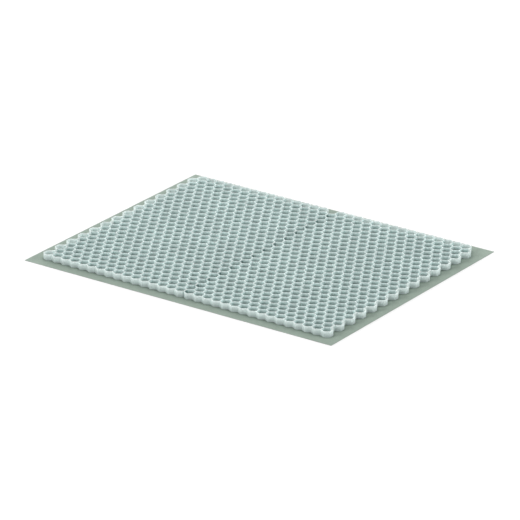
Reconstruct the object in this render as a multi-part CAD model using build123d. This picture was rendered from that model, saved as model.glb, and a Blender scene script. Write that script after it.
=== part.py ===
from build123d import *
from collections import Counter
import math
import os

# Folding honeycomb mat for holding gravel, laid open.
# Two moulded plastic honeycomb panels lie side by side on one sheet of geotextile,
# which is bonded under both of them and is the hinge between them.
# X runs across the two panels, Y from front to back, Z up. The origin is the centre
# of the underside, so the fold line is the Y axis. All sizes are in millimetres.

# Driving dimensions
cell_pitch = 50.0          # between the centres of two cells in a row
row_count = 28             # rows of cells, front to back
column_count = 16          # cells across one panel in the odd rows, one fewer in the even rows
core_height = 30.0         # height of the cell walls
wall_thickness = 1.2       # every wall, between two cells or round the outside
cell_corner_radius = 2.5   # inside a cell's corners
edge_corner_radius = 8.0   # inside those corners that stand at the outside of a panel
notch_radius = 4.0         # outside, where the outer walls of two cells meet
panel_clearance = 0.4      # between the two panels where their walls stand side by side
sheet_margin = 55.0        # geotextile that stands out past the outer walls on every side
sheet_thickness = 1.0      # needle-punched geotextile

# Worked out from them
cell_side = cell_pitch / math.sqrt(3)
row_pitch = 1.5 * cell_side
core_depth = (row_count - 1) * row_pitch + 2 * cell_side
panel_width = column_count * cell_pitch
panel_start = (panel_clearance + wall_thickness) / 2
outer_corner_radius = edge_corner_radius + wall_thickness
corner_angles = [30 + 60 * n for n in range(6)]


def cell_centres():
    """Centres of a panel's cells, row by row, from its front left corner at the origin."""
    centres = []
    for row in range(row_count):
        is_short = row % 2
        for column in range(column_count - is_short):
            x = (column + 0.5 + 0.5 * is_short) * cell_pitch
            centres.append((x, cell_side + row * row_pitch))
    return centres


def side_line(odd_row_x, even_row_x):
    """Corners of a panel's left or right outer wall, front to back."""
    corners = []
    for row in range(row_count):
        x = even_row_x if row % 2 else odd_row_x
        middle = cell_side + row * row_pitch
        corners += [Vector(x, middle - cell_side / 2), Vector(x, middle + cell_side / 2)]
    return corners


def outer_wall_line():
    """Corners of the outer wall's centre line, anticlockwise round a panel."""
    half_pitch = cell_pitch / 2
    corner_rise = cell_side / 2
    front = [Vector(n * half_pitch, corner_rise * (1 - n % 2)) for n in range(1, 2 * column_count)]
    back = [Vector(n * half_pitch, core_depth - corner_rise * (n % 2))
            for n in range(2, 2 * column_count - 1)]
    right = side_line(panel_width, panel_width - half_pitch)
    left = side_line(0, half_pitch)
    return front + right + back[::-1] + left[::-1]


def outer_face_outline():
    """The outer wall's outer face, with its corners rounded outwards and in the notches."""
    line = outer_wall_line()
    corners = []
    radii = []
    for before, corner, after in zip(line[-1:] + line[:-1], line, line[1:] + line[:1]):
        arriving = (corner - before).normalized()
        leaving = (after - corner).normalized()
        outward = (arriving + leaving).cross(Vector(0, 0, 1))
        corners.append(corner + outward * (wall_thickness / 2 / (1 + arriving.dot(leaving))))
        turns_left = arriving.cross(leaving).Z > 0
        radii.append(outer_corner_radius if turns_left else notch_radius)
    return FilletPolyline(*corners, radius=radii, close=True)


def corner_name(centre, angle):
    """A pair of whole numbers for a corner of a cell, the same for each cell that shares it."""
    x = centre[0] + cell_side * math.cos(math.radians(angle))
    y = centre[1] + cell_side * math.sin(math.radians(angle))
    return round(2 * x / cell_pitch), round(2 * y / cell_side)


def cell_outline(radii):
    """The inside of one cell's walls, centred on the origin, with two flats across X."""
    reach = (cell_pitch - wall_thickness) / math.sqrt(3)
    corners = [Vector(reach, 0).rotate(Axis.Z, angle) for angle in corner_angles]
    return FilletPolyline(*corners, radius=radii, close=True)


def honeycomb():
    """A panel moulded in one piece, with its front left corner at the origin."""
    centres = cell_centres()
    cells_sharing = Counter(corner_name(centre, angle) for centre in centres for angle in corner_angles)
    outlines = {}
    openings = []
    for centre in centres:
        shared = tuple(cells_sharing[corner_name(centre, angle)] > 1 for angle in corner_angles)
        if shared not in outlines:
            radii = [cell_corner_radius if inside else edge_corner_radius for inside in shared]
            outlines[shared] = cell_outline(radii)
        openings.append(Pos(*centre) * outlines[shared])
    return extrude(Face(outer_face_outline(), openings), core_height)


def geotextile(side):
    """Half of the sheet, from the fold line to its edge at -X or +X."""
    width = panel_start + panel_width + sheet_margin
    depth = core_depth + 2 * sheet_margin
    return Pos(side * width / 2, 0, sheet_thickness / 2) * Box(width, depth, sheet_thickness)


def write(node, shape):
    shape.label = node
    export_step(shape, f"parts/{node}.step")


os.makedirs("parts", exist_ok=True)
panel = honeycomb()
write("left_honeycomb", Pos(-panel_start - panel_width, -core_depth / 2, sheet_thickness) * panel)
write("right_honeycomb", Pos(panel_start, -core_depth / 2, sheet_thickness) * panel)
write("left_geotextile", geotextile(-1))
write("right_geotextile", geotextile(1))
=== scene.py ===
import math

import bmesh
import bpy
from mathutils import Matrix, Vector, noise


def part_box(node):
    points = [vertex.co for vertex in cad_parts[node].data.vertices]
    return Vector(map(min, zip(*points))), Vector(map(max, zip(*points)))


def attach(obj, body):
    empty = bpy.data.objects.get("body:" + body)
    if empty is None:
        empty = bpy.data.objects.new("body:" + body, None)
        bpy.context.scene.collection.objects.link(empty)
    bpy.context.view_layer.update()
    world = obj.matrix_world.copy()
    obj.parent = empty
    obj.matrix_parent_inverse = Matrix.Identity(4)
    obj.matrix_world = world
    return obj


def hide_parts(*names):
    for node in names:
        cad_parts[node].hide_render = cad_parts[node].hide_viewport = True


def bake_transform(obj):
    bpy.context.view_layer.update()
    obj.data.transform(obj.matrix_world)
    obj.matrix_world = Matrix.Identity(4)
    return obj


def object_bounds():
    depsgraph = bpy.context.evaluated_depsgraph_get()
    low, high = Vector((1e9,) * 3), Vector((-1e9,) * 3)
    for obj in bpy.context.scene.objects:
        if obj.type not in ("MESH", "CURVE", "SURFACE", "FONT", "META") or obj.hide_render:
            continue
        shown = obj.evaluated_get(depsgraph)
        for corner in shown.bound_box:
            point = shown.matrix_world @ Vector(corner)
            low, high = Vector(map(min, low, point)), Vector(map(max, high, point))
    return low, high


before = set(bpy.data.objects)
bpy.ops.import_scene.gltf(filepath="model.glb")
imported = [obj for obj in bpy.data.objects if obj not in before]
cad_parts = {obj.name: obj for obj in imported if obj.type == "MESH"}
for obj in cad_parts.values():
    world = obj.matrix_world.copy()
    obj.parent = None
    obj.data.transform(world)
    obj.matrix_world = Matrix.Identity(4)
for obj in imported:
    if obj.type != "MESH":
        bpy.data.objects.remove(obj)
CAD_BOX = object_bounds()

# Sizes of the honeycomb, in metres. Its place comes from the CAD nodes.
PITCH = 0.050              # between the centres of two cells in a row
ROWS = 28
COLUMNS = 16               # cells across a panel in the odd rows, one fewer in the even rows
WALL = 0.0012
CELL_CORNER = 0.0025       # rounding inside a cell's corners
EDGE_CORNER = 0.008        # rounding inside those corners that stand at the outside of a panel
NOTCH = 0.004              # rounding outside, where the outer walls of two cells meet
RIM_ROUNDING = 0.0004
ARC_STEPS = 4              # flats along each rounded corner

# Shading is smooth across edges flatter than this, in degrees
HONEYCOMB_SMOOTH_ANGLE = 50
FELT_SMOOTH_ANGLE = 40

# The geotextile
FELT_STEP = 0.012          # between its rows and columns of vertices
FOLD_COLUMNS = [0.0, 0.0003, 0.0006, 0.001, 0.0014, 0.002]
MARGIN_FREE = 0.045        # width of the margin that lies free
RIPPLE = 0.0008
RIPPLE_SCALE = 7           # ripples per metre
CUT_WAVER = 0.0003
CUT_WAVER_SCALE = 40       # wavers per metre
FELT_FLECKS = [(0.30, (0.205, 0.26, 0.22)), (0.52, (0.29, 0.37, 0.31)), (0.75, (0.38, 0.47, 0.40))]
FELT_FLECK_SCALE = 650
FELT_PATCH_SCALE = 14
FELT_ROUGHNESS = (0.85, 1.0)
# Painted shade on the felt close to the walls, where their contact shadow falls
FELT_PAINTED_SHADE_REACH = 0.022
FELT_PAINTED_CONTACT_SHADE = [(0.36, (0.16, 0.18, 0.18)), (0.55, (0.52, 0.55, 0.54)), (0.9, (1, 1, 1))]

# The plastic. The faces of the walls are of four kinds, in the order of their materials: those
# between cells, those outside a panel, the inner faces of the outer walls, which light comes
# through, and those that face the other panel. Their materials are lit and shaded copies of one
# plastic. The tones are painted light and shade, from the foot of a wall, 0, to its rim, 1:
# painted shade darker towards the foot, a painted highlight at the rim, and a painted glow on
# the faces that light comes through.
INNER, OUTSIDE, LIT_THROUGH, IN_SEAM = range(4)
PLASTIC_IOR = 1.49
PLASTIC_ROUGHNESS = (0.50, 0.62)
CLOUD_SCALE = 9            # clouds per metre
GRAIN_SCALE = 900          # grains per metre
TRANSLUCENCY = 0.36
LIT_THROUGH_TRANSLUCENCY = 0.6
WALL_FOOT, WALL_RIM = 0.001, 0.031          # heights between which the tones change
CELL_PAINTED_SHADING = [(0.0, (0.46, 0.58, 0.565)), (0.5, (0.60, 0.72, 0.705)),
              (0.93, (0.78, 0.885, 0.875)), (1.0, (0.97, 0.99, 0.985))]
OUTSIDE_PAINTED_SHADING = [(0.0, (0.57, 0.66, 0.645)), (0.5, (0.67, 0.755, 0.74)),
                 (0.93, (0.74, 0.825, 0.81)), (1.0, (0.93, 0.96, 0.95))]
LIT_THROUGH_PAINTED_GLOW = [(0.0, (0.74, 0.82, 0.81)), (0.5, (0.88, 0.94, 0.93)),
                     (0.93, (0.93, 0.97, 0.965)), (1.0, (0.97, 0.99, 0.985))]
# Painted shade at the seam, where the walls of two panels stand together
SEAM_PAINTED_SHADE = (0.28, 0.38, 0.37)
SEAM_PAINTED_SHADE_ACROSS = (0.0016, 0.0030)        # distance from the fold line over which it fades
SEAM_PAINTED_SHADE_UP = (0.024, 0.030)              # height over which it fades

# The studio
FLOOR_COLOUR = (0.95, 0.95, 0.95, 1)
FLOOR_SIZE = 60
FLOOR_DROP = 0.0002
SURROUND = 0.50
LIGHT_DISTANCE = 15.0
LIGHT_SPREAD = 22          # degrees that a light spans, seen from the mat
SOFT_LIGHTS = [            # name, azimuth, elevation, share of the light
    ("front_light", 20, 13, 0.10), ("right_light", 108, 24, 0.45), ("right_back_light", 140, 14, 0.15),
    ("back_light", 210, 18, 0.30), ("left_back_light", 238, 14, 0.28), ("left_light", 268, 13, 0.26),
    ("left_front_light", 330, 27, 0.49)]
CAMERA_AZIMUTH = 35.25
CAMERA_ELEVATION = 22.35
CAMERA_DISTANCE = 20.11
CAMERA_AIM = (0.0282, -0.0399, 0.001)
CAMERA_LENS = 302          # millimetres, on a sensor 36 mm wide
CAMERA_SENSOR = 36
CAMERA_REACH = 100

SIDE = PITCH / math.sqrt(3)
ROW_PITCH = 1.5 * SIDE
COS_30 = math.cos(math.radians(30))
CORNER_ANGLES = [math.radians(30 + 60 * n) for n in range(6)]
ARC_TURNS = [math.radians(60 * step / ARC_STEPS - 30) for step in range(ARC_STEPS + 1)]


# ---------------------------------------------------------------- node helpers

def new_material(name):
    """A material with an empty node tree and its output."""
    material = bpy.data.materials.new(name)
    material.use_nodes = True
    nodes = material.node_tree.nodes
    nodes.clear()
    return material, nodes, material.node_tree.links, nodes.new("ShaderNodeOutputMaterial")


def noise_of(nodes, links, coordinates, scale, detail=3.0, roughness=0.5):
    """A noise factor over an object's own coordinates, in features per metre."""
    texture = nodes.new("ShaderNodeTexNoise")
    texture.inputs["Scale"].default_value = scale
    texture.inputs["Detail"].default_value = detail
    texture.inputs["Roughness"].default_value = roughness
    links.new(coordinates, texture.inputs["Vector"])
    return texture.outputs["Fac"]


def ramp(nodes, links, factor, stops):
    """A colour for a factor, from (position, (r, g, b)) stops."""
    node = nodes.new("ShaderNodeValToRGB")
    elements = node.color_ramp.elements
    while len(elements) < len(stops):
        elements.new(0.5)
    for element, (position, colour) in zip(elements, stops):
        element.position = position
        element.color = (*colour, 1.0)
    links.new(factor, node.inputs["Fac"])
    return node.outputs["Color"]


def spread(nodes, links, factor, low, high, first=0.0, last=1.0):
    """A factor from first to last mapped to low .. high."""
    node = nodes.new("ShaderNodeMapRange")
    node.inputs["From Min"].default_value = first
    node.inputs["From Max"].default_value = last
    node.inputs["To Min"].default_value = low
    node.inputs["To Max"].default_value = high
    links.new(factor, node.inputs["Value"])
    return node.outputs["Result"]


def multiplied(nodes, links, one, other):
    node = nodes.new("ShaderNodeMix")
    node.data_type = "RGBA"
    node.blend_type = "MULTIPLY"
    node.inputs["Factor"].default_value = 1.0
    links.new(one, node.inputs["A"])
    links.new(other, node.inputs["B"])
    return node.outputs["Result"]


# ------------------------------------------------------------------- materials

def painted_seam_shade(nodes, links, place):
    """Painted shade: white for a wall that stands alone, and dark below the rim where two walls stand
    together.
    """
    across = nodes.new("ShaderNodeMath")
    across.operation = "ABSOLUTE"
    links.new(place.outputs["X"], across.inputs[0])
    apart = spread(nodes, links, across.outputs["Value"], 0, 1, *SEAM_PAINTED_SHADE_ACROSS)
    near_rim = spread(nodes, links, place.outputs["Z"], 0, 1, *SEAM_PAINTED_SHADE_UP)
    either = nodes.new("ShaderNodeMath")
    either.operation = "MAXIMUM"
    links.new(apart, either.inputs[0])
    links.new(near_rim, either.inputs[1])
    return ramp(nodes, links, either.outputs["Value"], [(0.0, SEAM_PAINTED_SHADE), (1.0, (1, 1, 1))])


def painted_crevice_shade(nodes, links, reach, stops):
    """Painted shade: a darker tone close to other surfaces, within reach in metres, where contact shadow
    falls.
    """
    hollow = nodes.new("ShaderNodeAmbientOcclusion")
    hollow.samples = 4
    hollow.inputs["Distance"].default_value = reach
    return ramp(nodes, links, hollow.outputs["AO"], stops)


def milky_plastic(name, tones, shaded=False, translucency=TRANSLUCENCY):
    """Natural polypropylene: cloudy white, satin, and partly lit through.

    A shaded one has painted shade at the seam, darker below the rim where the walls of two panels stand
    together.
    """
    material, nodes, links, output = new_material(name)
    place = nodes.new("ShaderNodeTexCoord").outputs["Object"]
    cloud = noise_of(nodes, links, place, CLOUD_SCALE, 4.0, 0.6)
    grain = noise_of(nodes, links, place, GRAIN_SCALE, 2.0)
    tone = ramp(nodes, links, cloud, [(0.3, (0.92, 0.92, 0.92)), (0.7, (1.0, 1.0, 1.0))])
    height = nodes.new("ShaderNodeSeparateXYZ")
    links.new(place, height.inputs["Vector"])
    # Painted shade and highlight: the tones darken towards the foot of a wall and turn near white at its
    # rim
    up_wall = spread(nodes, links, height.outputs["Z"], 0, 1, WALL_FOOT, WALL_RIM)
    colour = multiplied(nodes, links, ramp(nodes, links, up_wall, tones), tone)
    # Painted seam shade, darker where two walls stand together
    if shaded:
        colour = multiplied(nodes, links, colour, painted_seam_shade(nodes, links, height))

    body = nodes.new("ShaderNodeBsdfPrincipled")
    body.inputs["IOR"].default_value = PLASTIC_IOR
    links.new(colour, body.inputs["Base Color"])
    links.new(spread(nodes, links, grain, *PLASTIC_ROUGHNESS), body.inputs["Roughness"])

    bump = nodes.new("ShaderNodeBump")
    bump.inputs["Strength"].default_value = 0.12
    bump.inputs["Distance"].default_value = 0.0002
    links.new(grain, bump.inputs["Height"])
    links.new(bump.outputs["Normal"], body.inputs["Normal"])

    through = nodes.new("ShaderNodeBsdfTranslucent")
    links.new(colour, through.inputs["Color"])
    mix = nodes.new("ShaderNodeMixShader")
    mix.inputs["Fac"].default_value = translucency
    links.new(body.outputs["BSDF"], mix.inputs[1])
    links.new(through.outputs["BSDF"], mix.inputs[2])
    links.new(mix.outputs["Shader"], output.inputs["Surface"])
    return material


def needled_felt():
    """Grey-green needle-punched geotextile: tangled fibres, light and dark flecks, no shine."""
    material, nodes, links, output = new_material("needle_punched_geotextile")
    place = nodes.new("ShaderNodeTexCoord").outputs["Object"]
    fleck = noise_of(nodes, links, place, FELT_FLECK_SCALE, 5.0, 0.65)
    patch = noise_of(nodes, links, place, FELT_PATCH_SCALE, 4.0, 0.55)
    base = ramp(nodes, links, fleck, FELT_FLECKS)
    shade = ramp(nodes, links, patch, [(0.3, (0.93, 0.93, 0.93)), (0.7, (1.0, 1.0, 1.0))])

    felt = nodes.new("ShaderNodeBsdfPrincipled")
    felt.inputs["Specular IOR Level"].default_value = 0.15
    felt.inputs["Sheen Weight"].default_value = 0.15
    felt.inputs["Sheen Roughness"].default_value = 0.5
    # The flecks and patches, times painted contact shade near the walls
    shaded = multiplied(nodes, links, multiplied(nodes, links, base, shade),
                        painted_crevice_shade(nodes, links, FELT_PAINTED_SHADE_REACH, FELT_PAINTED_CONTACT_SHADE))
    links.new(shaded, felt.inputs["Base Color"])
    links.new(spread(nodes, links, fleck, *FELT_ROUGHNESS), felt.inputs["Roughness"])

    bump = nodes.new("ShaderNodeBump")
    bump.inputs["Strength"].default_value = 0.5
    bump.inputs["Distance"].default_value = 0.0006
    links.new(fleck, bump.inputs["Height"])
    links.new(bump.outputs["Normal"], felt.inputs["Normal"])
    links.new(felt.outputs["BSDF"], output.inputs["Surface"])
    return material


def studio_floor():
    """Plain pale matt backdrop paper."""
    material, nodes, links, output = new_material("pale_floor")
    paper = nodes.new("ShaderNodeBsdfPrincipled")
    paper.inputs["Base Color"].default_value = FLOOR_COLOUR
    paper.inputs["Roughness"].default_value = 0.95
    paper.inputs["Specular IOR Level"].default_value = 0.0
    links.new(paper.outputs["BSDF"], output.inputs["Surface"])
    return material


# ------------------------------------------------------------------- honeycomb

class Honeycomb:
    """The mesh of one moulded panel, with its front left corner at the origin.

    Each cell is a hexagonal hole with rounded corners. Between the holes, the tops and
    bottoms of the walls are faces that meet on the lattice lines, and an outer face follows
    the outermost lattice lines. Every vertex belongs to a post, an upright row of vertices
    with one at each level, and a level says how far the faces of the walls draw back there.
    """

    def __init__(self, height, seam_column):
        self.seam_column = seam_column     # of the corners that stand against the other panel
        self.levels = [(0.0, 0.0), (height - RIM_ROUNDING, 0.0),
                       (height - 0.3 * RIM_ROUNDING, 0.3 * RIM_ROUNDING), (height, RIM_ROUNDING)]
        self.vertices = []
        self.faces = []
        self.kinds = []                    # of each face
        self.posts = {}
        self.cells = [((column + 0.5 + 0.5 * (row % 2)) * PITCH, SIDE + row * ROW_PITCH)
                      for row in range(ROWS) for column in range(COLUMNS - row % 2)]
        self.corners = [[self.corner_name(x, y, angle) for angle in CORNER_ANGLES]
                        for x, y in self.cells]
        self.cells_at = {}
        self.cells_beside = {}
        for cell, corners in enumerate(self.corners):
            for n, corner in enumerate(corners):
                self.cells_at.setdefault(corner, []).append(cell)
                self.cells_beside.setdefault(frozenset((corner, corners[(n + 1) % 6])), []).append(cell)

    def corner_name(self, x, y, angle):
        """A pair of whole numbers for a corner of a cell, the same for each cell that has it."""
        return (round((x + SIDE * math.cos(angle)) / (PITCH / 2)),
                round((y + SIDE * math.sin(angle)) / (SIDE / 2)))

    def post(self, name, x, y, towards=0.0, radius=0.0, draws=0):
        """The post of that name, radius away from (x, y), or more by what a level draws back."""
        if name not in self.posts:
            first = len(self.vertices)
            for z, drawn_back in self.levels:
                reach = radius + draws * drawn_back
                self.vertices.append((x + reach * math.cos(towards), y + reach * math.sin(towards), z))
            self.posts[name] = range(first, len(self.vertices))
        return self.posts[name]

    def stands_outside(self, cell, n):
        """Whether corner n of a cell is one that no other cell shares."""
        return len(self.cells_at[self.corners[cell][n]]) == 1

    def in_seam(self, *corners, end=0):
        """Whether these corners of the outer wall all face the other panel, past the seam's ends."""
        last = 3 * ROWS + 1
        return all(abs(column - self.seam_column) < 2 and end < row < last - end
                   for column, row in corners)

    def outer_kind(self, *corners):
        return IN_SEAM if self.in_seam(*corners, end=1) else OUTSIDE

    def rounded_corner(self, cell, n, offset, draws):
        """Posts along the arc round corner n of a cell, anticlockwise, offset outside its inner face."""
        radius = EDGE_CORNER if self.stands_outside(cell, n) else CELL_CORNER
        reach = SIDE - (WALL / 2 + radius) / COS_30
        middle = CORNER_ANGLES[n]
        x, y = self.cells[cell]
        x += reach * math.cos(middle)
        y += reach * math.sin(middle)
        return [self.post((cell, n, draws, step), x, y, middle + turn, radius + offset, draws)
                for step, turn in enumerate(ARC_TURNS)]

    def inner_corner(self, cell, n):
        return self.rounded_corner(cell, n % 6, 0.0, 1)

    def outer_corner(self, cell, n):
        return self.rounded_corner(cell, n % 6, WALL, -1)

    def middle_post(self, corner):
        """The post on a lattice corner, inside the plastic where two or three walls meet."""
        return self.post(corner, corner[0] * PITCH / 2, corner[1] * SIDE / 2)

    def notch(self, corner):
        """Posts along the rounded notch outside a lattice corner that two cells share."""
        x, y = corner[0] * PITCH / 2, corner[1] * SIDE / 2
        (x1, y1), (x2, y2) = [self.cells[cell] for cell in self.cells_at[corner]]
        outward = math.atan2(y - (y1 + y2) / 2, x - (x1 + x2) / 2)
        reach = (NOTCH + WALL / 2) / COS_30
        centre_x, centre_y = x + reach * math.cos(outward), y + reach * math.sin(outward)
        inward = outward + math.pi
        return [self.post((corner, step), centre_x, centre_y, inward - turn, NOTCH, 1)
                for step, turn in enumerate(ARC_TURNS)]

    def cap(self, posts):
        """The top face and the bottom face within a loop of posts, anticlockwise from above."""
        self.faces += [[post[-1] for post in posts], [post[0] for post in reversed(posts)]]
        self.kinds += [INNER, INNER]

    def fan(self, middle, arc):
        """Caps from a middle post to each step of an arc."""
        for a, b in zip(arc, arc[1:]):
            self.cap([middle, a, b])

    def side(self, posts, kind=INNER):
        """Upright faces along a row of posts, with the open air on the right."""
        for a, b in zip(posts, posts[1:]):
            for low in range(len(self.levels) - 1):
                self.faces.append([a[low], b[low], b[low + 1], a[low + 1]])
                self.kinds.append(kind)

    def add_wall(self, cell, n):
        """A cell's share of the wall from its corner n to the next."""
        start, end = self.corners[cell][n], self.corners[cell][(n + 1) % 6]
        inside = [self.inner_corner(cell, n + 1)[0], self.inner_corner(cell, n)[-1]]
        shared = len(self.cells_beside[frozenset((start, end))]) == 2
        self.side(inside, INNER if shared or self.in_seam(start, end) else LIT_THROUGH)
        if shared:
            self.cap([self.middle_post(start), self.middle_post(end), *inside])
            return
        if self.stands_outside(cell, n):
            before, first = [], self.outer_corner(cell, n)[-1]
        else:
            before, first = [self.middle_post(start)], self.notch(start)[-1]
        if self.stands_outside(cell, (n + 1) % 6):
            last, after = self.outer_corner(cell, n + 1)[0], []
        else:
            last, after = self.notch(end)[0], [self.middle_post(end)]
        self.side([first, last], self.outer_kind(start, end))
        self.cap([*before, first, last, *after, *inside])

    def add_corner(self, cell, n):
        """The rounding inside a cell's corner, and outside where no other cell shares it."""
        inner = self.inner_corner(cell, n)
        corner = self.corners[cell][n]
        outside = self.stands_outside(cell, n)
        self.side(inner[::-1], LIT_THROUGH if outside and not self.in_seam(corner) else INNER)
        if outside:
            outer = self.outer_corner(cell, n)
            self.side(outer, self.outer_kind(corner))
            for step in range(ARC_STEPS):
                self.cap([outer[step], outer[step + 1], inner[step + 1], inner[step]])
        else:
            self.fan(self.middle_post(corner), inner[::-1])

    def mesh(self, name):
        for cell in range(len(self.cells)):
            for n in range(6):
                self.add_wall(cell, n)
                self.add_corner(cell, n)
        for corner, cells in self.cells_at.items():
            if len(cells) == 2:
                self.side(self.notch(corner), self.outer_kind(corner))
                self.fan(self.middle_post(corner), self.notch(corner))
        mesh = bpy.data.meshes.new(name)
        mesh.from_pydata(self.vertices, [], self.faces)
        mesh.polygons.foreach_set("material_index", self.kinds)
        return mesh


def add_object(name, mesh, materials, smooth_angle):
    """A mesh object in the scene, shaded smooth across edges flatter than smooth_angle degrees."""
    for material in materials:
        mesh.materials.append(material)
    mesh.validate()
    mesh.polygons.foreach_set("use_smooth", [True] * len(mesh.polygons))
    mesh.set_sharp_from_angle(angle=math.radians(smooth_angle))
    piece = bpy.data.objects.new(name, mesh)
    bpy.context.scene.collection.objects.link(piece)
    return piece


def honeycomb(panel, materials):
    """The detailed honeycomb of one panel, in the place of its CAD node."""
    low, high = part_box(f"{panel}_honeycomb")
    middle = (low + high) / 2
    seam_column = 2 * COLUMNS if panel == "left" else 0
    mesh = Honeycomb(high.z - low.z, seam_column).mesh(f"{panel}_cells")
    mesh.transform(Matrix.Translation((middle.x - COLUMNS * PITCH / 2, low.y, low.z)))
    piece = add_object(f"{panel}_honeycomb_panel", mesh, materials, HONEYCOMB_SMOOTH_ANGLE)
    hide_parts(f"{panel}_honeycomb")
    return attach(piece, f"{panel}_panel")


# ------------------------------------------------------------------ geotextile

def geotextile(material):
    """The one sheet of felt under both panels, with close columns of vertices at the fold line."""
    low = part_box("left_geotextile")[0]
    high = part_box("right_geotextile")[1]
    columns = sorted({round(side * x, 6) for side in (-1, 1) for x in FOLD_COLUMNS}
                     | {low.x, high.x} | {round(side * FELT_STEP * n, 6) for side in (-1, 1)
                                          for n in range(1, int(high.x / FELT_STEP) + 1)})
    row_count = round((high.y - low.y) / FELT_STEP)
    rows = [low.y + (high.y - low.y) * n / row_count for n in range(row_count + 1)]
    bm = bmesh.new()
    layers = [[[bm.verts.new(felt_point(x, y, z, low, high)) for y in rows] for x in columns]
              for z in (low.z, high.z)]
    bottom, top = layers
    for i in range(len(columns) - 1):
        for j in range(len(rows) - 1):
            bm.faces.new((top[i][j], top[i + 1][j], top[i + 1][j + 1], top[i][j + 1]))
            bm.faces.new((bottom[i][j], bottom[i][j + 1], bottom[i + 1][j + 1], bottom[i + 1][j]))
    last_column, last_row = len(columns) - 1, len(rows) - 1
    around = ([(i, 0) for i in range(last_column)]
              + [(last_column, j) for j in range(last_row)]
              + [(i, last_row) for i in range(last_column, 0, -1)]
              + [(0, j) for j in range(last_row, 0, -1)])
    for (i, j), (p, q) in zip(around, around[1:] + around[:1]):
        bm.faces.new((bottom[i][j], bottom[p][q], top[p][q], top[i][j]))
    mesh = bpy.data.meshes.new("geotextile_sheet")
    bm.to_mesh(mesh)
    bm.free()
    piece = add_object("geotextile_sheet", mesh, [material], FELT_SMOOTH_ANGLE)
    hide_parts("left_geotextile", "right_geotextile")
    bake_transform(piece)
    return piece


def felt_point(x, y, z, low, high):
    """A point of the sheet: its cut edge wavers a little, and its free margin ripples."""
    to_edge = min(x - low.x, high.x - x, y - low.y, high.y - y)
    if to_edge < 1e-6:
        waver = CUT_WAVER * noise.noise(Vector((x * CUT_WAVER_SCALE, y * CUT_WAVER_SCALE, 0.5)))
        x -= math.copysign(waver + CUT_WAVER, x) * (min(x - low.x, high.x - x) < 1e-6)
        y -= math.copysign(waver + CUT_WAVER, y) * (min(y - low.y, high.y - y) < 1e-6)
    free = max(0.0, 1 - to_edge / MARGIN_FREE)
    ripple = 0.5 + 0.5 * noise.noise(Vector((x * RIPPLE_SCALE, y * RIPPLE_SCALE, 3.0)))
    return x, y, z + RIPPLE * ripple * free * free


# ---------------------------------------------------------------- studio stage

def studio():
    """A plain floor, a soft white surround and large soft lights."""
    bpy.ops.mesh.primitive_plane_add(size=FLOOR_SIZE, location=(0, 0, CAD_BOX[0].z - FLOOR_DROP))
    floor = bpy.context.object
    floor.name = "studio_floor"
    floor.data.materials.append(studio_floor())

    world = bpy.data.worlds.new("soft_surround")
    world.use_nodes = True
    surround = world.node_tree.nodes["Background"]
    surround.inputs["Color"].default_value = (1, 1, 1, 1)
    surround.inputs["Strength"].default_value = SURROUND
    bpy.context.scene.world = world

    for name, azimuth, elevation, share in SOFT_LIGHTS:
        light = bpy.data.lights.new(name, "AREA")
        light.shape = "SQUARE"
        light.size = 2 * LIGHT_DISTANCE * math.tan(math.radians(LIGHT_SPREAD / 2))
        light.energy = share * (math.pi * LIGHT_DISTANCE) ** 2
        lamp = bpy.data.objects.new(name, light)
        bpy.context.scene.collection.objects.link(lamp)
        away = direction(azimuth, elevation)
        lamp.location = away * LIGHT_DISTANCE
        lamp.rotation_euler = away.to_track_quat("Z", "Y").to_euler()


def direction(azimuth, elevation):
    """The unit vector towards an azimuth, 0 being the front and 90 the right, and an elevation."""
    a, e = math.radians(azimuth), math.radians(elevation)
    return Vector((math.sin(a) * math.cos(e), -math.cos(a) * math.cos(e), math.sin(e)))


def camera():
    """A long lens, from the front right and above."""
    lens = bpy.data.cameras.new("camera")
    lens.sensor_width = CAMERA_SENSOR
    lens.lens = CAMERA_LENS
    lens.clip_end = CAMERA_REACH
    viewer = bpy.data.objects.new("camera", lens)
    bpy.context.scene.collection.objects.link(viewer)
    back = direction(CAMERA_AZIMUTH, CAMERA_ELEVATION)
    viewer.location = Vector(CAMERA_AIM) + back * CAMERA_DISTANCE
    viewer.rotation_euler = back.to_track_quat("Z", "Y").to_euler()
    bpy.context.scene.camera = viewer


# Lit and shaded copies of one plastic, each with its own painted light and shade
plastic = [milky_plastic("milky_polypropylene", CELL_PAINTED_SHADING, shaded=True),
           milky_plastic("milky_polypropylene_outside", OUTSIDE_PAINTED_SHADING),
           milky_plastic("milky_polypropylene_lit_through", LIT_THROUGH_PAINTED_GLOW,
                         translucency=LIT_THROUGH_TRANSLUCENCY),
           milky_plastic("milky_polypropylene_in_seam", CELL_PAINTED_SHADING)]
for panel in ("left", "right"):
    honeycomb(panel, plastic)
geotextile(needled_felt())
studio()
camera()
bpy.context.scene.view_settings.view_transform = "Standard"
